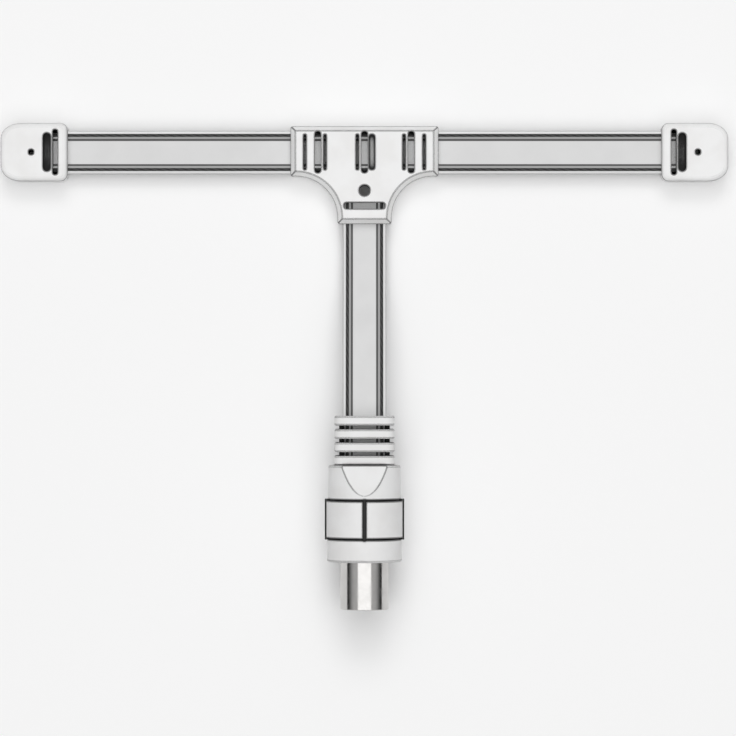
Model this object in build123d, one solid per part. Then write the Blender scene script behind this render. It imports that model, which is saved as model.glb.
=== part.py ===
from build123d import *
from math import atan2, tan
import os

# Twin-lead ribbon: two wires in round beads with a thin web between them
ribbon_width = 9.4
bead_diameter = 2.0
web_thickness = 0.8
bead_blend = 0.35
wire_diameter = 0.8
arm_run = 48.3
downlead_run = 41.5
run_share = 0.45

# Tee and end caps share one thickness, with the ribbon in its middle
moulding_thickness = 5.6

# Tee moulding
tee_width = 32.0
tee_top_wall = 0.95
tee_bottom_wall = 0.5
stem_side_wall = 1.15
stem_flat = 0.3
shoulder_flat = 0.15
tee_corner = 0.5
bevel_width = 1.0
bevel_drop = 1.3
bevel_round = 0.2
back_chamfer = 0.4
tee_pin_diameter = 2.4
pin_to_crossbar = 8.3
pin_to_stem_window = 3.3
stem_window_to_end = 3.9

# Windows on the ribbon, thin slots cut down to it, and a blind recess beside the middle window
window_width = 1.35
window_cover = 0.2
side_window_offset = 10.1
slot_width = 0.65
slot_length = 7.7
outer_slot_offset = 2.8
inner_slot_offset = 1.55
centre_slot_offset = 1.55
recess_offset = 1.6
recess_width = 1.35
recess_depth = 0.9

# Feed joints inside the tee
feed_joint_diameter = 2.2
feed_strip = 1.5
feed_notch_clearance = 0.2
feed_wire_overrun = 0.8
downlead_bare = 3.0
web_notch_wall = 0.8

# End caps
cap_side_wall = 1.6
cap_inner_corner = 1.5
cap_end_corner_length = 4.4
cap_end_corner_width = 3.3
cap_edge_round = 0.9
cap_window_offset = 2.6
cap_window_width = 1.1
cap_window_overrun = 0.2
cap_slot_gap = 0.4
cap_slot_width = 1.7
cap_slot_length = 8.3
cap_slot_depth = 2.0
cap_insulation_cover = 0.3
cap_bare_wire = 2.55
cap_pin_wall = 0.4
cap_pin_diameter = 1.2
cap_pin_to_end = 6.6
end_joint_diameter = 1.6
end_wire_gap = 0.2
wire_bend = 0.9

# Strain relief: a row of fins joined at both sides of the ribbon
fin_count = 4
fin_thickness = 2.05
fin_gap = 0.8
fin_side_wall = 1.75
fin_depth = 9.6
fin_corner = 1.8
fin_edge_round = 0.3
fin_link_wall = 0.75
fin_link_cover = 0.3
fin_link_depth = 3.4

# Plug body: slightly tapered, with a flat sloped in on each face at the cable end
body_wall = 2.8
body_taper = 0.6
body_end_round = 0.4
flat_half_depth = 5.95
flat_length = 6.5
band_start = 7.7
band_length = 7.9
band_step = 0.15
band_groove_width = 0.4
band_groove_depth = 0.6
rib_count = 4
rib_width = 0.75
rib_height = 0.35
rib_overrun = 0.45
rib_round = 0.2

# Coaxial contacts of the 9.5 mm aerial plug
barrel_bore = 9.6
barrel_wall = 0.45
barrel_reach = 10.3
barrel_root = 6.0
barrel_flange = 1.0
barrel_flange_thickness = 1.0
barrel_edge = 0.15
insulator_length = 4.0
contact_diameter = 3.4
contact_bore = 2.44
contact_bore_depth = 8.0
contact_recess = 2.0
contact_slit = 0.4
contact_slit_length = 5.0
contact_tail_diameter = 1.4
contact_tail_length = 1.5
contact_edge = 0.2

# Matching transformer in the plug's chamber
chamber_wall = 1.2
chamber_clearance = 0.2
plug_bare_wire = 2.0
plug_joint_diameter = 1.8
core_width = 7.0
core_thickness = 4.2
core_length = 6.0
core_hole_diameter = 1.8
core_hole_spacing = 3.0
core_corner = 1.4
core_gap = 1.5
tail_gap = 1.7
winding_wire = 0.5
winding_layer = 0.55
winding_loop = 0.7
winding_bend = 0.45
tail_joint_diameter = 2.4

# Two points closer than this are one
touch = 0.01

# Places worked out from the sizes: origin on the tee's pin hole, back of the tee at zero height
wire_spacing = ribbon_width - bead_diameter
ribbon_height = moulding_thickness / 2
crossbar_y = pin_to_crossbar
lower_wire_y = crossbar_y - wire_spacing / 2
tee_top_y = crossbar_y + ribbon_width / 2 + tee_top_wall
bar_bottom_y = crossbar_y - ribbon_width / 2 - tee_bottom_wall
stem_end_y = -pin_to_stem_window - stem_window_to_end
stem_width = ribbon_width + 2 * stem_side_wall
cap_inner_x = tee_width / 2 + arm_run
cap_insulation_end = cap_window_offset + cap_window_width / 2 + cap_insulation_cover
cap_link = cap_insulation_end + cap_bare_wire
cap_pin_offset = cap_link + end_joint_diameter / 2 + cap_pin_wall + cap_pin_diameter / 2
cap_length = cap_pin_offset + cap_pin_to_end
cap_width = ribbon_width + 2 * cap_side_wall
link_x = cap_inner_x + cap_link
barrel_outer = barrel_bore + 2 * barrel_wall
body_diameter = barrel_outer + 2 * body_wall
band_diameter = body_diameter + 2 * band_step
plug_height = band_diameter / 2 + rib_height
fin_start_y = stem_end_y - downlead_run
body_start_y = fin_start_y - fin_count * fin_thickness - (fin_count - 1) * fin_gap
chamber_start_y = body_start_y - chamber_wall
plug_joint_y = chamber_start_y - plug_bare_wire
core_rear_y = plug_joint_y - plug_joint_diameter / 2 - core_gap
core_front_y = core_rear_y - core_length
tail_end_y = core_front_y - tail_gap
barrel_rear_y = tail_end_y - contact_tail_length
tail_middle_y = (tail_end_y + barrel_rear_y) / 2
body_end_y = barrel_rear_y - barrel_root
body_length = body_start_y - body_end_y
mouth_y = body_end_y - barrel_reach
winding_height = plug_height + winding_layer
ground_x = (barrel_outer + barrel_flange) / 2


def both_sides(shape):
    """The shape with its mirror image across the middle of the tee, as left and right."""
    return {"left": mirror(shape, about=Plane.YZ), "right": shape}


def ribbon_outline():
    """Ribbon section across its width, beads blended into the web."""
    section = Rectangle(wire_spacing, web_thickness)
    for side in (-1, 1):
        section += Pos(side * wire_spacing / 2, 0) * Circle(bead_diameter / 2)
    return fillet(section.vertices(), bead_blend)


def upright_slot(x, y, length, width, low, high):
    """Round-ended slot that runs along Y, as a solid to cut with."""
    return Pos(x, y, low) * extrude(SlotOverall(length, width, rotation=90), high - low)


def wire_along(points, height, bend, diameter):
    """Round wire at one height, along straight runs joined by tangent bends."""
    route = FilletPolyline(*[(x, y, height) for x, y in points], radius=bend)
    return sweep((route ^ 0) * Circle(diameter / 2), path=route)


def solder_joint(ball, *held):
    """Ball of solder with the pieces that it holds taken out of it."""
    for piece in held:
        ball -= piece
    return ball


def crossbar_envelope():
    """Outside of the crossbar ribbon, with the two notches where its lower wire is stripped."""
    half = cap_inner_x + cap_insulation_end
    plane = Plane((0, crossbar_y, ribbon_height), x_dir=(0, 1, 0), z_dir=(1, 0, 0))
    envelope = extrude(plane * ribbon_outline(), half, both=True)
    notch_depth = bead_diameter / 2 + feed_joint_diameter / 2 + feed_notch_clearance
    notch = Box(2 * feed_strip, notch_depth, bead_diameter, align=(Align.CENTER, Align.MIN, Align.CENTER))
    for side in (-1, 1):
        envelope -= Pos(side * wire_spacing / 2, crossbar_y - ribbon_width / 2, ribbon_height) * notch
    return envelope


def upper_wire():
    """Upper wire, unbroken from end to end and bent down into both end joints."""
    top = crossbar_y + wire_spacing / 2
    tip = crossbar_y + end_wire_gap / 2
    route = [(-link_x, tip), (-link_x, top), (link_x, top), (link_x, tip)]
    return wire_along(route, ribbon_height, wire_bend, wire_diameter)


def lower_wire():
    """Right half of the lower wire, from its end joint to just past its feed joint."""
    feed_end = wire_spacing / 2 - feed_wire_overrun
    tip = crossbar_y - end_wire_gap / 2
    route = [(link_x, tip), (link_x, lower_wire_y), (feed_end, lower_wire_y)]
    return wire_along(route, ribbon_height, wire_bend, wire_diameter)


def dead_wire():
    """Length of the lower wire left between the two feed notches, joined to nothing."""
    half = wire_spacing / 2 - feed_strip
    plane = Plane((0, lower_wire_y, ribbon_height), z_dir=(1, 0, 0))
    return extrude(plane * Circle(wire_diameter / 2), half, both=True)


def downlead_route(start_y, end_y):
    """Route from the tee's ribbon height up to the plug's axis, in an even S bend."""
    third = downlead_run / 3
    rise = plug_height - ribbon_height
    bend = run_share * third / tan(atan2(rise, third) / 2)
    return FilletPolyline(
        (0, start_y, ribbon_height),
        (0, stem_end_y - third, ribbon_height),
        (0, stem_end_y - 2 * third, plug_height),
        (0, end_y, plug_height),
        radius=bend,
    )


def downlead_envelope():
    """Outside of the downlead ribbon, its web cut back round the tee's pin hole."""
    start_y = lower_wire_y - downlead_bare
    plane = Plane((0, start_y, ribbon_height), x_dir=(1, 0, 0), z_dir=(0, -1, 0))
    envelope = sweep(plane * ribbon_outline(), path=downlead_route(start_y, chamber_start_y))
    notch_radius = tee_pin_diameter / 2 + web_notch_wall
    notch = Circle(notch_radius) + Pos(0, pin_to_crossbar / 2) * Rectangle(2 * notch_radius, pin_to_crossbar)
    return envelope - extrude(notch, moulding_thickness)


def downlead_wire():
    """Right downlead wire, from the side of the crossbar's lower wire to its joint in the plug."""
    route = downlead_route(lower_wire_y - wire_diameter / 2, plug_joint_y)
    route = Pos(wire_spacing / 2, 0, 0) * route
    return sweep((route ^ 0) * Circle(wire_diameter / 2), path=route)


def tee_outline():
    """Bar and stem of the tee, swept into each other by wide round shoulders."""
    bar_middle = (tee_top_y + bar_bottom_y) / 2
    bar = Pos(0, bar_middle) * Rectangle(tee_width, tee_top_y - bar_bottom_y)
    stem = Rectangle(stem_width, bar_middle - stem_end_y, align=(Align.CENTER, Align.MIN))
    outline = bar + Pos(0, stem_end_y) * stem
    at_bar = [v for v in outline.vertices() if abs(v.Y - bar_bottom_y) < touch]
    inner = [v for v in at_bar if abs(v.X) < tee_width / 2 - touch]
    across = (tee_width - stem_width) / 2 - bevel_width - shoulder_flat
    down = bar_bottom_y - stem_end_y - bevel_width - stem_flat
    return fillet(inner, min(across, down))


def tee_blank():
    """Tee before its windows are cut: bevelled front, eased back edge and softened corners."""
    outline = tee_outline()
    blank = extrude(outline, moulding_thickness)
    front = blank.faces().sort_by(Axis.Z)[-1]
    blank = chamfer(front.edges(), bevel_width, bevel_drop, reference=front)
    blank = chamfer(blank.faces().sort_by(Axis.Z)[0].edges(), back_chamfer)
    blank = fillet(blank.faces().sort_by(Axis.Z)[-1].edges(), bevel_round)
    outer = [v for v in outline.vertices() if abs(v.X) > tee_width / 2 - touch or v.Y < stem_end_y + touch]
    return blank & extrude(fillet(outer, tee_corner), moulding_thickness)


def tee_moulding(inside):
    """Tee with windows and thin slots on the ribbons, a blind recess and a pin hole."""
    tee = tee_blank()
    window_length = ribbon_width - 2 * window_cover
    for x in (-side_window_offset, 0, side_window_offset):
        tee -= upright_slot(x, crossbar_y, window_length, window_width, 0, moulding_thickness)
    slots = [-centre_slot_offset]
    for side in (-1, 1):
        slots.append(side * (side_window_offset + outer_slot_offset))
        slots.append(side * (side_window_offset - inner_slot_offset))
    for x in slots:
        tee -= upright_slot(x, crossbar_y, slot_length, slot_width, ribbon_height, moulding_thickness)
    floor = moulding_thickness - recess_depth
    tee -= upright_slot(recess_offset, crossbar_y, slot_length, recess_width, floor, moulding_thickness)
    stem_window = extrude(SlotOverall(window_length, window_width), moulding_thickness)
    tee -= Pos(0, -pin_to_stem_window, 0) * stem_window
    tee -= extrude(Circle(tee_pin_diameter / 2), moulding_thickness)
    for piece in inside:
        tee -= piece
    return tee


def cap_outline():
    """Right end cap from the front: small rounds at the ribbon, long drawn-out rounds at its end."""
    side_y = crossbar_y + cap_width / 2
    end_x = cap_inner_x + cap_length
    corner = EllipticalCenterArc(
        (end_x - cap_end_corner_length, side_y - cap_end_corner_width),
        cap_end_corner_length,
        cap_end_corner_width,
        start_angle=0,
        arc_size=90,
    )
    middle = [(cap_inner_x, crossbar_y), (end_x, crossbar_y)]
    rest = Polyline(corner @ 1, (cap_inner_x, side_y), *middle, corner @ 0)
    half = make_face(corner + rest)
    outline = half + mirror(half, about=Plane.XZ.offset(-crossbar_y))
    return fillet(outline.vertices().sort_by(Axis.X)[:2], cap_inner_corner)


def end_cap(inside):
    """Right end cap with its edge rounded over, a window, a slot and a pin hole."""
    cap = extrude(cap_outline(), moulding_thickness)
    cap = fillet(cap.faces().sort_by(Axis.Z)[-1].edges(), cap_edge_round)
    cap = chamfer(cap.faces().sort_by(Axis.Z)[0].edges(), back_chamfer)
    window_x = cap_inner_x + cap_window_offset
    window_length = ribbon_width + 2 * cap_window_overrun
    cap -= upright_slot(window_x, crossbar_y, window_length, cap_window_width, 0, moulding_thickness)
    slot_x = window_x + cap_window_width / 2 + cap_slot_gap + cap_slot_width / 2
    slot_floor = moulding_thickness - cap_slot_depth
    cap -= upright_slot(slot_x, crossbar_y, cap_slot_length, cap_slot_width, slot_floor, moulding_thickness)
    pin_x = cap_inner_x + cap_pin_offset
    cap -= Pos(pin_x, crossbar_y, 0) * extrude(Circle(cap_pin_diameter / 2), moulding_thickness)
    for piece in inside:
        cap -= piece
    return cap


def along_plug(y):
    """Section plane across the plug, facing its mouth."""
    return Plane((0, y, plug_height), x_dir=(1, 0, 0), z_dir=(0, -1, 0))


def turned(points):
    """Solid turned about the plug's axis from (radius, y) points."""
    profile = make_face(Polyline(*[(r, y, plug_height) for r, y in points], close=True))
    return revolve(profile, Axis((0, 0, plug_height), (0, 1, 0)))


def strain_relief():
    """Fins across the ribbon, joined by a link along each of its edges."""
    fin_section = RectangleRounded(ribbon_width + 2 * fin_side_wall, fin_depth, fin_corner)
    links = Rectangle(ribbon_width + 2 * fin_link_wall, fin_link_depth)
    links -= Rectangle(ribbon_width - 2 * fin_link_cover, fin_link_depth)
    relief = extrude(along_plug(fin_start_y) * links, fin_start_y - body_start_y)
    for index in range(fin_count):
        y = fin_start_y - index * (fin_thickness + fin_gap)
        fin = extrude(along_plug(y) * fin_section, fin_thickness)
        ends = fin.faces().filter_by(Axis.Y)
        relief += fillet(ends.edges(), fin_edge_round)
    return relief


def plug_body():
    """Tapered round body with a sloped flat on each face, a ribbed grip band and a groove at its ends."""
    start_radius = (body_diameter - body_taper) / 2
    exit_radius = start_radius + body_taper / 2 * flat_length / body_length
    body = turned(
        [
            (0, body_start_y),
            (start_radius, body_start_y),
            (body_diameter / 2, body_end_y),
            (0, body_end_y),
        ]
    )
    body = fillet(body.edges().filter_by(GeomType.CIRCLE), body_end_round)
    flat = Polyline(
        (body_start_y, flat_half_depth),
        (body_start_y, body_diameter),
        (body_start_y - flat_length, body_diameter),
        (body_start_y - flat_length, exit_radius),
        close=True,
    )
    side_plane = Plane((0, 0, plug_height), x_dir=(0, 1, 0), z_dir=(1, 0, 0))
    wedge = extrude(side_plane * make_face(flat), body_diameter, both=True)
    body -= wedge
    body -= mirror(wedge, about=Plane((0, 0, plug_height)))
    band_y = body_start_y - band_start
    body += extrude(along_plug(band_y) * Circle(band_diameter / 2), band_length)
    groove = Circle(band_diameter) - Circle(body_diameter / 2 - band_groove_depth)
    for y in (band_y + band_groove_width, band_y - band_length):
        body -= extrude(along_plug(y) * groove, band_groove_width)
    rib_reach = band_diameter / 2 + rib_height
    rib_section = Rectangle(rib_reach, rib_width, align=(Align.MIN, Align.CENTER))
    rib_section = fillet(rib_section.vertices().sort_by(Axis.X)[-2:], rib_round)
    for index in range(rib_count):
        turned_section = Rot(0, 0, index * 360 / rib_count) * rib_section
        body += extrude(along_plug(band_y + rib_overrun) * turned_section, band_length + 2 * rib_overrun)
    return body


def plug_moulding(inside):
    """Plug body and strain relief in one moulding, hollow for the transformer."""
    moulding = strain_relief() + plug_body()
    chamber_width = wire_spacing + plug_joint_diameter + 2 * chamber_clearance
    chamber = Rectangle(chamber_width, core_thickness)
    moulding -= extrude(along_plug(chamber_start_y) * chamber, chamber_start_y - barrel_rear_y)
    moulding -= extrude(along_plug(barrel_rear_y) * Circle(barrel_outer / 2), barrel_root)
    for piece in inside:
        moulding -= piece
    return moulding


def plug_barrel():
    """Outer contact: a thin tube with a flange that anchors it in the moulding."""
    inner = barrel_bore / 2
    outer = barrel_outer / 2
    flange_y = barrel_rear_y - barrel_flange_thickness
    return turned(
        [
            (inner, barrel_rear_y),
            (outer + barrel_flange, barrel_rear_y),
            (outer + barrel_flange, flange_y),
            (outer, flange_y),
            (outer, mouth_y + barrel_edge),
            (outer - barrel_edge, mouth_y),
            (inner + barrel_edge, mouth_y),
            (inner, mouth_y + barrel_edge),
        ]
    )


def centre_contact():
    """Inner contact: a bored and slit socket with a shoulder and a solder tail."""
    tip_y = mouth_y + contact_recess
    shoulder_y = barrel_rear_y - insulator_length / 2
    radius = contact_diameter / 2
    tail = contact_tail_diameter / 2
    contact = turned(
        [
            (0, tail_end_y),
            (tail, tail_end_y),
            (tail, shoulder_y),
            (radius, shoulder_y),
            (radius, tip_y + contact_edge),
            (radius - contact_edge, tip_y),
            (0, tip_y),
        ]
    )
    contact -= extrude(along_plug(tip_y + contact_bore_depth) * Circle(contact_bore / 2), contact_bore_depth)
    for angle in (45, 135):
        slit = Rot(0, 0, angle) * Rectangle(contact_diameter, contact_slit)
        contact -= extrude(along_plug(tip_y + contact_slit_length) * slit, contact_slit_length)
    return contact


def plug_insulator(contact):
    """Disc that carries the inner contact in the middle of the barrel."""
    return extrude(along_plug(barrel_rear_y) * Circle(barrel_bore / 2), insulator_length) - contact


def balun_core():
    """Two-hole ferrite core."""
    section = RectangleRounded(core_width, core_thickness, core_corner)
    for side in (-1, 1):
        section -= Pos(side * core_hole_spacing / 2, 0) * Circle(core_hole_diameter / 2)
    return extrude(along_plug(core_rear_y) * section, core_length)


def primary_winding():
    """Loop from one downlead wire through both core holes to the other."""
    x_wire = wire_spacing / 2
    x_hole = core_hole_spacing / 2
    rear = core_rear_y + winding_loop
    front = core_front_y - winding_loop
    half = [(x_wire, plug_joint_y), (x_wire, rear), (x_hole, rear), (x_hole, front)]
    route = [(-x, y) for x, y in half] + half[::-1]
    return wire_along(route, plug_height, winding_bend, winding_wire)


def secondary_winding():
    """Loop from the contact's tail through both core holes to the barrel's flange."""
    x_hole = core_hole_spacing / 2
    rear = core_rear_y + winding_loop
    route = [
        (-contact_tail_diameter / 2, tail_middle_y),
        (-x_hole, tail_middle_y),
        (-x_hole, rear),
        (x_hole, rear),
        (x_hole, tail_middle_y),
        (ground_x, tail_middle_y),
    ]
    return wire_along(route, winding_height, winding_bend, winding_wire)


# Ribbons and wires
crossbar = crossbar_envelope()
downlead = downlead_envelope()
wire_over = upper_wire()
wire_between = dead_wire()
wires_under = both_sides(lower_wire())
wires_down = both_sides(downlead_wire())

# Contacts and transformer of the plug
barrel = plug_barrel()
contact = centre_contact()
insulator = plug_insulator(contact)
primary = primary_winding()
secondary = secondary_winding()

# Solder
end_ball = Pos(link_x, crossbar_y, ribbon_height) * Sphere(end_joint_diameter / 2)
feed_ball = Pos(wire_spacing / 2, lower_wire_y, ribbon_height) * Sphere(feed_joint_diameter / 2)
plug_ball = Pos(wire_spacing / 2, plug_joint_y, plug_height) * Sphere(plug_joint_diameter / 2)
tail_ball = Pos(0, tail_middle_y, plug_height) * Sphere(tail_joint_diameter / 2)
ground_ball = Pos(ground_x, tail_middle_y, winding_height) * Sphere(tail_joint_diameter / 2)
end_joints = both_sides(solder_joint(end_ball, wire_over, wires_under["right"]))
feed_joints = both_sides(solder_joint(feed_ball, wires_under["right"], wires_down["right"]))
plug_joints = both_sides(solder_joint(plug_ball, wires_down["right"], primary))
contact_joint = solder_joint(tail_ball, contact, secondary, insulator)
barrel_joint = solder_joint(ground_ball, barrel, secondary)

# Mouldings, each shut round the pieces inside it
feed_balls = both_sides(feed_ball).values()
tee_inside = [*feed_balls, crossbar, downlead, *wires_under.values(), *wires_down.values()]
caps = both_sides(end_cap([crossbar, wire_over, wires_under["right"], end_ball]))

pieces = {
    "crossbar_ribbon": crossbar - wire_over - wire_between - wires_under["left"] - wires_under["right"],
    "downlead_ribbon": downlead - wires_down["left"] - wires_down["right"],
    "upper_wire": wire_over,
    "lower_dead_wire": wire_between,
    "tee_moulding": tee_moulding(tee_inside),
    "plug_moulding": plug_moulding([downlead, barrel, secondary, ground_ball]),
    "plug_barrel": barrel,
    "plug_insulator": insulator,
    "centre_contact": contact,
    "balun_core": balun_core(),
    "primary_winding": primary,
    "secondary_winding": secondary,
    "contact_joint": contact_joint,
    "barrel_joint": barrel_joint,
}
for side in ("left", "right"):
    pieces[f"lower_{side}_wire"] = wires_under[side]
    pieces[f"downlead_{side}_wire"] = wires_down[side]
    pieces[f"{side}_end_cap"] = caps[side]
    pieces[f"{side}_end_joint"] = end_joints[side]
    pieces[f"{side}_feed_joint"] = feed_joints[side]
    pieces[f"{side}_plug_joint"] = plug_joints[side]

os.makedirs("parts", exist_ok=True)
for name, piece in pieces.items():
    export_step(piece, f"parts/{name}.step")
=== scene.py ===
# %% [markdown]
# # A flat ribbon aerial for FM radio
#
# The aerial is a T of flat two-wire ribbon: a crossbar with a moulded cap at each end, a moulded
# tee in its middle, and a downlead to a round coaxial plug. The solids come ready made, in metres,
# with the tee's pin hole at the origin and the back of the tee on the floor. Their shapes are
# finished, so this lesson frames them, lights them and gives each one the finish of the real thing.

# %% Load the solids
from math import tau

import bpy
import bmesh
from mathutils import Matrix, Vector


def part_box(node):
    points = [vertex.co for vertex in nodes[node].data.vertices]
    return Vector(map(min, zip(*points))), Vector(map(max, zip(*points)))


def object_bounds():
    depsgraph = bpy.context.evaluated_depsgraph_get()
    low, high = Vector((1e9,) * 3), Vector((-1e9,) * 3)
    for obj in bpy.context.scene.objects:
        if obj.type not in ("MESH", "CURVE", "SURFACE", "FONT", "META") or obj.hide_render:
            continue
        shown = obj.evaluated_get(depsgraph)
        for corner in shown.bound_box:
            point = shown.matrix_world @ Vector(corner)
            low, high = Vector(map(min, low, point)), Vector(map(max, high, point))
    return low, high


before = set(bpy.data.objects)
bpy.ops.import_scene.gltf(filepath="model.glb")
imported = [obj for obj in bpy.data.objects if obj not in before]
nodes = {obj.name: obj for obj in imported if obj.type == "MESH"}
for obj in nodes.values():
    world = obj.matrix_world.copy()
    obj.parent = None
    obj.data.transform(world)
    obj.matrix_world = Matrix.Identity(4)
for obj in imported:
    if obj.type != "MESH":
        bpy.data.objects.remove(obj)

cad_low, cad_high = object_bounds()
mm = 0.001
print("solids:", len(nodes), "size in mm:", [round(side / mm, 1) for side in cad_high - cad_low])

# %% [markdown]
# ## Camera
#
# The drawing looks straight at the front of the tee, so the camera hangs above the floor and looks
# down. A drawing has no perspective, and a long lens far away comes close to that while it still
# lets the camera be moved to other sides. The framing is read off the picture: how wide the
# aerial is in it, and where the middle of the crossbar and of the tee are.

# %% Camera
picture_size = 736
aerial_pixels = 728
tee_column = 364.5
crossbar_row = 152
lens_mm = 200
sensor_mm = 36

ribbon_low, ribbon_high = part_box("crossbar_ribbon")
crossbar_y = (ribbon_low.y + ribbon_high.y) / 2
face_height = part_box("tee_moulding")[1].z
pixel = (cad_high.x - cad_low.x) / aerial_pixels

camera_data = bpy.data.cameras.new("camera")
camera_data.lens = lens_mm
camera_data.sensor_width = sensor_mm
camera = bpy.data.objects.new("camera", camera_data)
camera.location = (
    (picture_size / 2 - tee_column) * pixel,
    crossbar_y - (picture_size / 2 - crossbar_row) * pixel,
    face_height + picture_size * pixel * lens_mm / sensor_mm,
)
scene = bpy.context.scene
scene.collection.objects.link(camera)
scene.camera = camera
scene.view_settings.view_transform = "Standard"
print("camera height in m:", round(camera.location.z, 3))


# %% [markdown]
# ## Helpers for node trees
#
# The room and every finish are small trees of nodes. Adding a node, setting its sockets and
# joining it to others takes several lines each time, so a few short helpers do it. Most of them
# give back the socket with the result, so that calls can be nested like sums. The one used most
# is fade, and a pair of numbers in a later cell is where a fade starts and where it ends.

# %% Node helpers
def give(tree, socket, value):
    """Joins a socket to another one, or sets it to a plain value."""
    if isinstance(value, bpy.types.NodeSocket):
        tree.links.new(value, socket)
    else:
        socket.default_value = value


def put(tree, kind, inputs, **settings):
    """Adds a node: settings are its properties, inputs its sockets by name."""
    node = tree.nodes.new("ShaderNode" + kind)
    for name, value in settings.items():
        setattr(node, name, value)
    for name, value in inputs.items():
        give(tree, node.inputs[name], value)
    return node


def maths(tree, operation, first, second=0.0):
    """One sum on two values."""
    node = put(tree, "Math", {}, operation=operation)
    give(tree, node.inputs[0], first)
    give(tree, node.inputs[1], second)
    return node.outputs[0]


def apart(tree, value, centre):
    """How far a value is from a centre, on either side of it."""
    return maths(tree, "ABSOLUTE", maths(tree, "SUBTRACT", value, centre))


def fade(tree, value, start, end, low=0.0, high=1.0):
    """Goes smoothly from low, where the value is at start, to high, where it is at end."""
    span = {"Value": value, "From Min": start, "From Max": end, "To Min": low, "To Max": high}
    return put(tree, "MapRange", span, interpolation_type="SMOOTHSTEP").outputs["Result"]


def mix_colours(tree, share, first, second):
    """First colour where share is 0, second where it is 1."""
    node = put(tree, "Mix", {}, data_type="RGBA")
    colour_sockets = [socket for socket in node.inputs if socket.type == "RGBA"]
    give(tree, node.inputs[0], share)
    give(tree, colour_sockets[0], first)
    give(tree, colour_sockets[1], second)
    return [socket for socket in node.outputs if socket.type == "RGBA"][0]


print("helpers:", [helper.__name__ for helper in (give, put, maths, apart, fade, mix_colours)])

# %% [markdown]
# ## Patterns
#
# Grain, clouds, haze and fine lines are all noise: a pattern from 0 to 1 that looks random but is
# the same each time, with most of it in the middle of that range. A Bump node tilts the normal as
# if the pattern stood up from the surface. The grain of a mould is finer than a pixel of the
# picture, and modelling it would take millions of faces that nobody could see.

# %% Patterns
noise_span = (0.3, 0.7)


def noise(tree, place, grain, detail=2.0):
    """Cloudy pattern from 0 to 1 whose lumps are about grain metres across."""
    return put(tree, "TexNoise", {"Vector": place, "Scale": 1 / grain, "Detail": detail}).outputs["Fac"]


def bump(tree, pattern, rise, strength, under=None):
    """Normal of a surface on which 1 in the pattern stands rise metres above 0."""
    inputs = {"Height": pattern, "Distance": rise, "Strength": strength}
    if under is not None:
        inputs["Normal"] = under
    return put(tree, "Bump", inputs).outputs["Normal"]


print("most of the noise lies between", noise_span)

# %% [markdown]
# ## Floor
#
# The aerial lies on a plain pale sheet, wide enough to fill the view from a low side too. It is
# one square from a bmesh grid, and it isn't part of the object.

# %% Floor
floor_size = 12.0
floor_white = (0.93, 0.93, 0.93, 1)
floor_roughness = 0.9

floor_mesh = bmesh.new()
bmesh.ops.create_grid(floor_mesh, x_segments=1, y_segments=1, size=floor_size / 2)
floor_data = bpy.data.meshes.new("floor")
floor_mesh.to_mesh(floor_data)
floor_mesh.free()
floor = bpy.data.objects.new("floor", floor_data)
scene.collection.objects.link(floor)
floor_paint = bpy.data.materials.new("floor_paint")
floor_paint.use_nodes = True
floor_shader = floor_paint.node_tree.nodes["Principled BSDF"]
floor_shader.inputs["Base Color"].default_value = floor_white
floor_shader.inputs["Roughness"].default_value = floor_roughness
floor_data.materials.append(floor_paint)
print("floor in m:", floor_size)

# %% [markdown]
# ## Soft boxes
#
# White plastic on a white floor shows its form only by its greys. Nearly all the light comes from
# above, so every edge and round side that turns away from it comes out darker, as it is drawn. A
# large soft box overhead is also the white band along the middle of the metal barrel. A small one
# beyond the crossbar brightens the faces that lean that way.

# %% Soft boxes
picture_middle = Vector((0, camera.location.y, 0))
# Place from the middle of the picture, width and depth, all in metres, and watts.
soft_boxes = {
    "overhead": ((0, 0, 1.4), 1.7, 2.8, 15.5),
    "beyond_crossbar": ((0, 1.3, 1.3), 0.9, 0.6, 4.8),
}


def soft_box(name, offset, width, depth, watts):
    """Rectangular lamp, offset from the middle of the picture, that shines at it."""
    lamp = bpy.data.lights.new(name, "AREA")
    lamp.shape = "RECTANGLE"
    lamp.size = width
    lamp.size_y = depth
    lamp.energy = watts
    box = bpy.data.objects.new(name, lamp)
    box.location = picture_middle + Vector(offset)
    box.rotation_euler = (picture_middle - box.location).to_track_quat("-Z", "Y").to_euler()
    scene.collection.objects.link(box)


for box_name, box_values in soft_boxes.items():
    soft_box(box_name, *box_values)
print("lamps:", [lamp.name for lamp in bpy.data.lights])

# %% [markdown]
# ## Room
#
# The room is pale above and dark near the floor, and the barrel mirrors that as a grey band and a
# dark one on each side of the white. One even grey would be less work, but then the barrel would
# look flat. The brightness depends on how far up a direction points, which is 0 along the floor
# and 1 straight up.

# %% Room
room_rise = (0.1, 0.7)
room_glow = (0.03, 0.55)

world = bpy.data.worlds.new("room")
scene.world = world
world.use_nodes = True
sky = world.node_tree
direction = put(sky, "TexCoord", {}).outputs["Generated"]
upward = put(sky, "SeparateXYZ", {"Vector": direction}).outputs["Z"]
background = sky.nodes["Background"]
background.inputs["Color"].default_value = (1, 1, 1, 1)
give(sky, background.inputs["Strength"], fade(sky, upward, *room_rise, *room_glow))
print("room:", len(sky.nodes), "nodes")


# %% [markdown]
# ## A new finish
#
# Every finish is a material with Blender's Principled shader. Its patterns read Object
# coordinates, which are the real metres of the part, so a grain has its real size on each piece.
# Nearly everything here is a neutral grey, so a colour is one level, with a little warmth for
# nickel and for white plastic that has yellowed.

# %% A new finish
def grey(level, warmth=0.0):
    """Neutral colour, a little yellower with warmth."""
    return (level, level - warmth / 2, level - warmth, 1.0)


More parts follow.
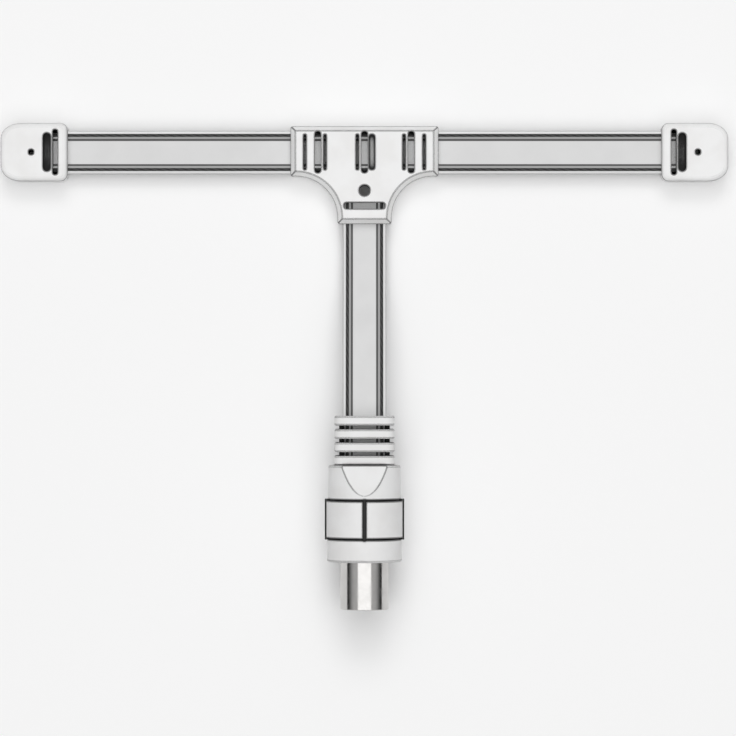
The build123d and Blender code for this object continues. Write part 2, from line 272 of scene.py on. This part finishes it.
def new_finish(name):
    """Material, its node tree, its shader and the socket that gives places in metres."""
    finish = bpy.data.materials.new(name)
    finish.use_nodes = True
    tree = finish.node_tree
    place = put(tree, "TexCoord", {}).outputs["Object"]
    return finish, tree, tree.nodes["Principled BSDF"], place


print("mid grey:", grey(0.5))

# %% [markdown]
# ## Edges and recesses
#
# Painted shade greys the edges of a moulding and darkens its narrow recesses. Both could be
# painted on by hand, but nodes find them on any shape. The Bevel node averages the normals near a
# point, so where it differs from the true normal there is an edge, and the Ambient Occlusion node
# tells how much of the sky a place sees, which is little in a recess.

# %% Edges and recesses
edge_reach = 0.5 * mm
edge_facing = (0.9994, 0.992)
edge_samples = 8
recess_reach = 3.0 * mm
recess_sky = (0.75, 0.50)
sky_samples = 12


def rounded_normal(tree):
    """Normal as it would be if every edge were rounded."""
    return put(tree, "Bevel", {"Radius": edge_reach}, samples=edge_samples).outputs["Normal"]


def edge_mask(tree, rounded):
    """1 along edges, where the rounded normal leaves the true one, and 0 on open faces."""
    true_normal = put(tree, "NewGeometry", {}).outputs["Normal"]
    facing = put(tree, "VectorMath", {}, operation="DOT_PRODUCT")
    give(tree, facing.inputs[0], rounded)
    give(tree, facing.inputs[1], true_normal)
    return fade(tree, facing.outputs["Value"], *edge_facing)


def recess_shade_mask(tree):
    """1 in narrow recesses, where little of the sky is seen, and 0 on open faces."""
    reach = {"Distance": recess_reach}
    open_sky = put(tree, "AmbientOcclusion", reach, samples=sky_samples, only_local=True)
    return fade(tree, open_sky.outputs["AO"], *recess_sky)


print("looks for edges within mm:", edge_reach / mm, "and for recesses within:", recess_reach / mm)

# %% [markdown]
# ## Moulded plastic
#
# The tee, the caps and the plug are soft white PVC out of a spark-eroded mould. The real surface
# has a fine matt grain, a slight cloudiness in the white, and a parting line where the halves of
# the mould met. The tee and the caps were split at the height of the ribbon and the plug at the
# height of its axis, so one function takes the height and makes both finishes.

# %% Moulded plastic
cloud_size = 6 * mm
cloud_span = (0.35, 0.65)
# Grey of the painted shade along edges.
edge_shade = grey(0.22)
# Dark of the painted shade in narrow recesses.
recess_shade = grey(0.012)
grain_size = 0.16 * mm
grain_rise = 0.015 * mm
grain_strength = 0.35
matt_roughness = (0.44, 0.58)
parting_width = 0.12 * mm
parting_rise = 0.03 * mm
parting_strength = 0.6
plastic_shine = 0.25


def moulded_colour(tree, place, rounded, pale, shaded):
    """Cloudy white with painted shade along its edges and in narrow recesses."""
    clouds = noise(tree, place, cloud_size, detail=3)
    colour = mix_colours(tree, fade(tree, clouds, *cloud_span), pale, shaded)
    # Painted shade along the edges.
    colour = mix_colours(tree, edge_mask(tree, rounded), colour, edge_shade)
    # Painted shade in narrow recesses.
    return mix_colours(tree, recess_shade_mask(tree), colour, recess_shade)


def moulded_normal(tree, place, rounded, grain, parting_height):
    """Rounded edges, the parting line on them and the matt grain on that."""
    height = put(tree, "SeparateXYZ", {"Vector": place}).outputs["Z"]
    ridge = fade(tree, apart(tree, height, parting_height), parting_width, parting_width / 3)
    line_normal = bump(tree, ridge, parting_rise, parting_strength, rounded)
    return bump(tree, grain, grain_rise, grain_strength, line_normal)


def moulded(name, pale, shaded, parting_height):
    """Moulded plastic whose mould was split at the parting height."""
    finish, tree, shader, place = new_finish(name)
    rounded = rounded_normal(tree)
    grain = noise(tree, place, grain_size)
    normal = moulded_normal(tree, place, rounded, grain, parting_height)
    give(tree, shader.inputs["Base Color"], moulded_colour(tree, place, rounded, pale, shaded))
    give(tree, shader.inputs["Roughness"], fade(tree, grain, *noise_span, *matt_roughness))
    give(tree, shader.inputs["Normal"], normal)
    shader.inputs["Specular IOR Level"].default_value = plastic_shine
    return finish


ribbon_height = (ribbon_low.z + ribbon_high.z) / 2
barrel_low, barrel_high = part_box("plug_barrel")
plug_height = (barrel_low.z + barrel_high.z) / 2
white_moulding = moulded("white_moulding", grey(0.86), grey(0.82, 0.008), ribbon_height)
plug_white = moulded("plug_moulding", grey(0.81), grey(0.77, 0.008), plug_height)
print("parting lines at mm:", round(ribbon_height / mm, 2), round(plug_height / mm, 2))

# %% [markdown]
# ## Cap shoulders
#
# The caps are rounded over too widely for the Bevel node to find an edge there, so they get
# painted shade of their own. The shade belongs where the shoulder is steep and turns into the
# upright wall. The normal says how steep a place is: its Z is 1 on a level face and 0 on an upright
# wall.
# No face of the tee leans like that, so the tee and the caps can go on sharing one finish.

# %% Cap shoulders
shoulder_slope = (0.52, 0.38)
wall_slope = (0.05, 0.15)


def shoulder_mask(tree):
    """1 on the steep part of rounded shoulders, just above the upright wall."""
    normal = put(tree, "NewGeometry", {}).outputs["Normal"]
    upward = put(tree, "SeparateXYZ", {"Vector": normal}).outputs["Z"]
    steep = fade(tree, upward, *shoulder_slope)
    above_wall = fade(tree, upward, *wall_slope)
    return maths(tree, "MULTIPLY", steep, above_wall)


def paint_over(finish, share, colour):
    """Mixes a colour over those that a finish already has, where share is 1."""
    tree = finish.node_tree
    socket = tree.nodes["Principled BSDF"].inputs["Base Color"]
    give(tree, socket, mix_colours(tree, share, socket.links[0].from_socket, colour))


# Painted shade on the steep shoulders of the caps.
paint_over(white_moulding, shoulder_mask(white_moulding.node_tree), edge_shade)
print("shoulders greyed:", white_moulding.name)

# %% [markdown]
# ## Grip ribs
#
# The plug's grip band has four ribs. The drawing shows three of them and inks them solid, so all
# four are given the dark soft plastic that such grips are tipped with. Nothing else on the plug
# lies so far from its axis, so the distance from the axis is enough to find them.

# %% Grip ribs
rib_height = 0.35 * mm
ink_start = 0.9 * rib_height
ink_full = 0.7 * rib_height
rib_ink = grey(0.015)


def rib_mask(tree, axis_height, reach):
    """1 on what stands out from the plug's axis nearly as far as reach."""
    axes = put(tree, "SeparateXYZ", {"Vector": put(tree, "TexCoord", {}).outputs["Object"]})
    above_axis = maths(tree, "SUBTRACT", axes.outputs["Z"], axis_height)
    from_axis = put(tree, "CombineXYZ", {"X": axes.outputs["X"], "Y": above_axis}).outputs["Vector"]
    radius = put(tree, "VectorMath", {"Vector": from_axis}, operation="LENGTH").outputs["Value"]
    return fade(tree, radius, reach - ink_start, reach - ink_full)


plug_low, plug_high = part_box("plug_moulding")
rib_reach = (plug_high.x - plug_low.x) / 2
paint_over(plug_white, rib_mask(plug_white.node_tree, plug_height, rib_reach), rib_ink)
print("ribs reach in mm:", round(rib_reach / mm, 2))

# %% [markdown]
# ## Ribbon colours
#
# The ribbon is cloudy polythene, and each of its two round edges shows the stranded wire inside as
# a dark line. Painted shade greys the plastic on the wire's inner side, darkens the fold where the
# bead meets the web, and greys the outer rim. All of these run along the ribbon, so the pattern
# only needs the distance from the ribbon's middle line. A line is a pair of distances from its own
# middle: the first is where it begins to show, and within the second it is full.

# %% Ribbon colours
bead_diameter = ribbon_high.z - ribbon_low.z
wire_offset = (ribbon_high.y - ribbon_low.y - bead_diameter) / 2
fold_offset = wire_offset - bead_diameter / 2
rim_offset = wire_offset + bead_diameter / 2
wire_line = (0.44 * mm, 0.26 * mm)
fold_line = (0.28 * mm, 0.12 * mm)
rim_line = (0.18 * mm, 0.10 * mm)
border_blur = 0.1 * mm
ribbon_clouds = 5 * mm
strand_pitch = 1.9 * mm
strand_slant = 3.0
web_greys = (grey(0.64), grey(0.71))
bead_greys = (grey(0.79), grey(0.84))
wire_greys = (grey(0.008), grey(0.04))
# Grey of the painted shade on the bead's inner side, beside the wire.
wire_shade = grey(0.42)
# Grey of the painted shade along the outer rim.
rim_shade = grey(0.46)
# Dark of the painted shade in the fold between bead and web.
fold_shade = grey(0.08)
window_white = grey(0.95)


def wire_colour(tree, across, along):
    """Dark strands that wind round the wire."""
    twist = maths(tree, "ADD", along, maths(tree, "MULTIPLY", across, strand_slant))
    turn = maths(tree, "SINE", maths(tree, "MULTIPLY", twist, tau / strand_pitch))
    return mix_colours(tree, fade(tree, turn, -1.0, 1.0), *wire_greys)


def ribbon_colour(tree, place, across, along, in_window):
    """Web and beads of cloudy plastic, the fold between them and the wires inside."""
    from_middle = apart(tree, across, 0.0)
    clouds = noise(tree, place, ribbon_clouds, detail=4)
    web = mix_colours(tree, clouds, *web_greys)
    bead = mix_colours(tree, clouds, *bead_greys)
    # Painted shade on the bead's inner side, beside the wire.
    inner = fade(tree, from_middle, wire_offset + border_blur, wire_offset - border_blur)
    bead = mix_colours(tree, inner, bead, wire_shade)
    # Painted shade along the outer rim of the bead.
    rim = fade(tree, apart(tree, from_middle, rim_offset), *rim_line)
    bead = mix_colours(tree, rim, bead, rim_shade)
    outer = fade(tree, from_middle, fold_offset - border_blur, fold_offset + border_blur)
    plastic = mix_colours(tree, in_window, mix_colours(tree, outer, web, bead), window_white)
    # Painted shade in the fold between bead and web.
    fold = fade(tree, apart(tree, from_middle, fold_offset), *fold_line)
    plastic = mix_colours(tree, fold, plastic, fold_shade)
    seen = fade(tree, apart(tree, from_middle, wire_offset), *wire_line)
    return mix_colours(tree, seen, plastic, wire_colour(tree, across, along))


print("ribbon: wires", round(2 * wire_offset / mm, 2), "mm apart")

# %% [markdown]
# ## Ribbon finish
#
# The ribbon is drawn through a die, which leaves fine lines along it. They are noise that is
# stretched far along the ribbon. Hardly any light comes back from the crossbar under the tee's
# narrow slots, so it is dark there. Light comes through the white sides of the wider windows, so
# the ribbon is pale in them. The Ambient Occlusion node tells these apart by how much of the sky
# they see. The ribbon is measured across Y on the crossbar and across X on the downlead, so one
# function makes both finishes.

# %% Ribbon finish
slot_reach = 1.4 * mm
slot_sky = (0.44, 0.30)
slot_dark = grey(0.01)
window_sky = (0.75, 0.55)
mouth_blur = 0.05 * mm
die_line_width = 0.12 * mm
die_line_stretch = 100
die_line_rise = 0.01 * mm
die_line_strength = 0.3
ribbon_roughness = (0.30, 0.42)


def inside_moulding(tree, along, run_start, run_end):
    """0 on the free run of ribbon between two mouldings, 1 inside them, on either side of 0."""
    run_middle = (run_start + run_end) / 2
    half_run = (run_end - run_start) / 2
    from_run_middle = apart(tree, apart(tree, along, 0.0), run_middle)
    return fade(tree, from_run_middle, half_run, half_run + mouth_blur)


def die_lines(tree, across, along):
    """Fine lines along the ribbon."""
    squeezed = maths(tree, "MULTIPLY", along, 1 / die_line_stretch)
    stretch = put(tree, "CombineXYZ", {"X": across, "Y": squeezed}).outputs["Vector"]
    return noise(tree, stretch, die_line_width)


def ribbon_finish(name, across_axis, along_axis, middle, run, slot_shade):
    """Cloudy polythene with two wires showing through, dark under narrow slots by slot_shade."""
    finish, tree, shader, place = new_finish(name)
    axes = put(tree, "SeparateXYZ", {"Vector": place})
    across = maths(tree, "SUBTRACT", axes.outputs[across_axis], middle)
    along = axes.outputs[along_axis]
    reach = {"Distance": slot_reach}
    open_sky = put(tree, "AmbientOcclusion", reach, samples=sky_samples).outputs["AO"]
    under_slot = fade(tree, open_sky, *slot_sky, high=slot_shade)
    between_walls = fade(tree, open_sky, *window_sky)
    in_window = maths(tree, "MULTIPLY", between_walls, inside_moulding(tree, along, *run))
    colour = ribbon_colour(tree, place, across, along, in_window)
    lines = die_lines(tree, across, along)
    give(tree, shader.inputs["Base Color"], mix_colours(tree, under_slot, colour, slot_dark))
    give(tree, shader.inputs["Roughness"], fade(tree, lines, *noise_span, *ribbon_roughness))
    give(tree, shader.inputs["Normal"], bump(tree, lines, die_line_rise, die_line_strength))
    shader.inputs["Specular IOR Level"].default_value = plastic_shine
    return finish


tee_low, tee_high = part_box("tee_moulding")
arm_run = (tee_high.x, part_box("right_end_cap")[0].x)
downlead_run = (-tee_low.y, -plug_high.y)
crossbar_finish = ribbon_finish("crossbar_ribbon", "Y", "X", crossbar_y, arm_run, slot_shade=1.0)
downlead_finish = ribbon_finish("downlead_ribbon", "X", "Y", 0.0, downlead_run, slot_shade=0.0)
runs = (arm_run, downlead_run)
print("free ribbon in mm:", [round((run_end - run_start) / mm, 1) for run_start, run_end in runs])

# %% [markdown]
# ## Turned metal
#
# The barrel and the contact are turned brass under bright nickel. Turning leaves rings round the
# axis, far too fine to see one by one, that blur the reflection along the barrel only. The rings
# are noise that changes along Y and nowhere else.

# %% Turned metal
ring_width = 0.10 * mm
ring_rise = 0.004 * mm
ring_strength = 0.25
haze_size = 2.5 * mm
haze_span = (0.35, 0.75)
plating_roughness = (0.10, 0.22)


def turned_metal(name, colour, hazed):
    """Plated metal with fine rings round the Y axis and a little handling haze."""
    finish, tree, shader, place = new_finish(name)
    axes = put(tree, "SeparateXYZ", {"Vector": place})
    ring_place = put(tree, "CombineXYZ", {"Y": axes.outputs["Y"]}).outputs["Vector"]
    rings = noise(tree, ring_place, ring_width, detail=4)
    haze = noise(tree, place, haze_size, detail=3)
    give(tree, shader.inputs["Base Color"], mix_colours(tree, haze, colour, hazed))
    give(tree, shader.inputs["Roughness"], fade(tree, haze, *haze_span, *plating_roughness))
    give(tree, shader.inputs["Normal"], bump(tree, rings, ring_rise, ring_strength))
    shader.inputs["Metallic"].default_value = 1.0
    return finish


nickel = turned_metal("nickel", grey(0.65, 0.02), grey(0.53, 0.02))
print("metal:", nickel.name)

# %% [markdown]
# ## Plain materials
#
# The insulator shows in the mouth of the barrel. Solder, tinned wire, enamelled copper and ferrite
# are mostly hidden in the mouldings, but a part that is cut open or taken apart shows them. They
# differ in their colours, their roughness and the size of their grain, so a table holds those and
# one function makes them all.

# %% Plain materials
lump_rise = 0.02 * mm
lump_strength = 0.3
roughness_spread = 0.12
copper_pale = (0.60, 0.22, 0.08, 1.0)
copper_dark = (0.42, 0.13, 0.05, 1.0)
# Pale colour, dark colour, least roughness, size of the grain in metres, and metallic.
plain_materials = {
    "insulator": (grey(0.80), grey(0.74), 0.35, 0.4 * mm, 0.0),
    "ferrite": (grey(0.05), grey(0.03), 0.55, 0.2 * mm, 0.0),
    "enamelled_wire": (copper_pale, copper_dark, 0.25, 0.5 * mm, 0.0),
    "solder": (grey(0.66), grey(0.52), 0.25, 0.6 * mm, 1.0),
    "tinned_wire": (grey(0.62), grey(0.48), 0.30, 0.15 * mm, 1.0),
}


def grainy(name, pale, dark, rough, grain, metallic):
    """Plain material whose colour and roughness vary with a fine grain."""
    finish, tree, shader, place = new_finish(name)
    lumps = noise(tree, place, grain, detail=3)
    roughness = fade(tree, lumps, *noise_span, rough, rough + roughness_spread)
    give(tree, shader.inputs["Base Color"], mix_colours(tree, lumps, pale, dark))
    give(tree, shader.inputs["Roughness"], roughness)
    give(tree, shader.inputs["Normal"], bump(tree, lumps, lump_rise, lump_strength))
    shader.inputs["Metallic"].default_value = metallic
    return finish


finish_of_slot = {slot: grainy(slot, *values) for slot, values in plain_materials.items()}
print("plain materials:", sorted(finish_of_slot))

# %% [markdown]
# ## Dress the solids
#
# Each solid comes with the name of its material slot. The two ribbons share a slot but run in
# different directions, so they get their finish by name, and every other solid by its slot.

# %% Dress the solids
finish_of_slot |= {
    "plated_metal": nickel,
    "white_moulding": white_moulding,
    "plug_moulding": plug_white,
}
finish_of_node = {"crossbar_ribbon": crossbar_finish, "downlead_ribbon": downlead_finish}
for name, node in nodes.items():
    slot = node.data.materials[0].name
    node.data.materials.clear()
    node.data.materials.append(finish_of_node.get(name) or finish_of_slot[slot])
print("dressed:", len(nodes), "solids")
